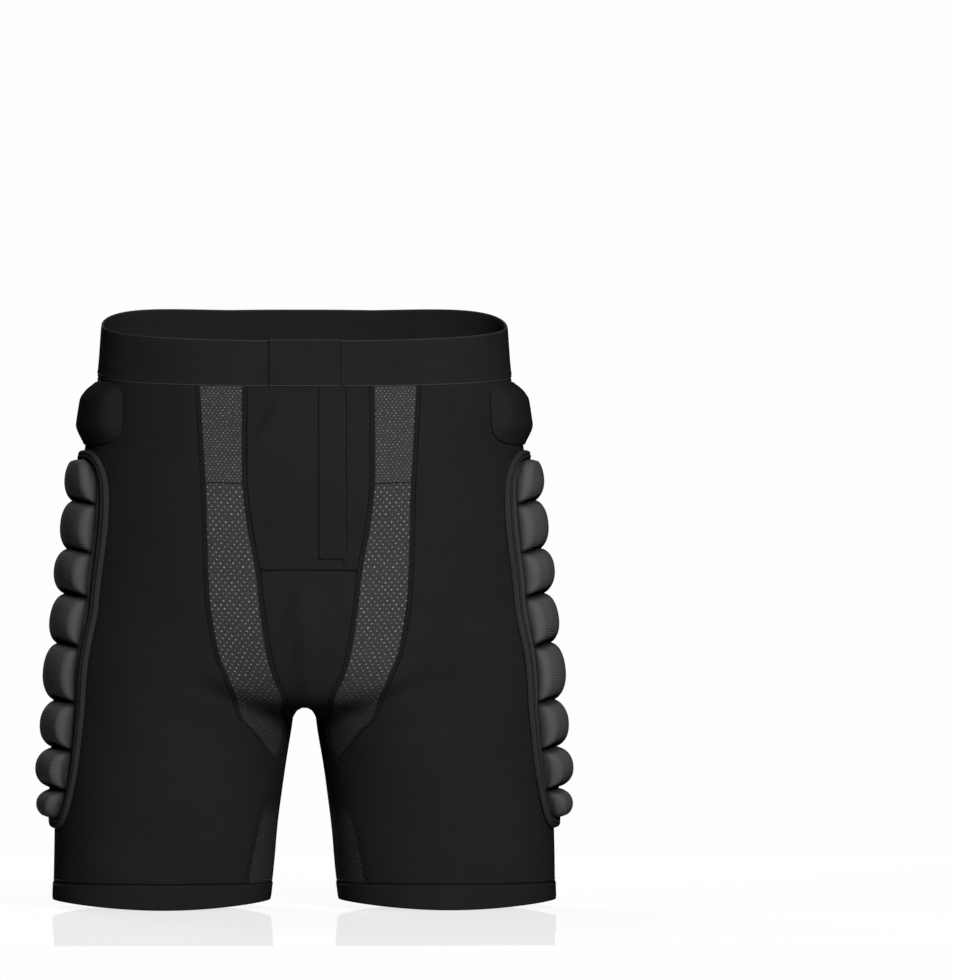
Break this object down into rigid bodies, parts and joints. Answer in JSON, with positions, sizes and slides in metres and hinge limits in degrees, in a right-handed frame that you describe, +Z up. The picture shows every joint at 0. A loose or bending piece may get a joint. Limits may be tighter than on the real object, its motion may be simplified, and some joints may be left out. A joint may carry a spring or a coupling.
{
  "type": "padded protective shorts",
  "caption": "Close-fitting stretch shorts with moulded pads over the hips, tailbone, outer thighs and backs of the thighs, mesh vent strips and a wide elastic waistband.",
  "frame": {"origin": "middle of the waist opening, level with the rim at the two sides", "axes": "+Z up, +X to the wearer's left, +Y to the wearer's back"},
  "size_m": [0.4584, 0.2709, 0.5098],
  "materials": {
    "cloth": "black warp-knit stretch cloth, matt with a soft sheen",
    "elastic": "woven elastic with fine level ribs",
    "mesh": "open spacer mesh with light knots",
    "pad": "moulded foam under thin ribbed knit",
    "crest_pad": "smooth moulded foam under plain knit",
    "binding": "folded knit binding tape, stitched"
  },
  "bodies": {
    "root": {"waistband": "elastic", "waistband_front_patch": "elastic", "centre_front_panel": "cloth", "fly_placket": "cloth", "pouch_panel": "cloth", "mesh_strip_left": "mesh", "mesh_strip_right": "mesh", "leg_panel_left": "cloth", "leg_panel_right": "cloth", "inner_thigh_panel_left": "mesh", "inner_thigh_panel_right": "mesh", "leg_hem_left": "cloth", "leg_hem_right": "cloth", "tail_pad": "pad", "tail_pad_binding": "binding", "thigh_pad_left": "pad", "thigh_pad_binding_left": "binding", "thigh_pad_right": "pad", "thigh_pad_binding_right": "binding", "side_pad_left": "pad", "side_pad_binding_left": "binding", "side_pad_right": "pad", "side_pad_binding_right": "binding", "hip_crest_pad_left": "crest_pad", "hip_crest_pad_right": "crest_pad"}
  },
  "joints": []
}
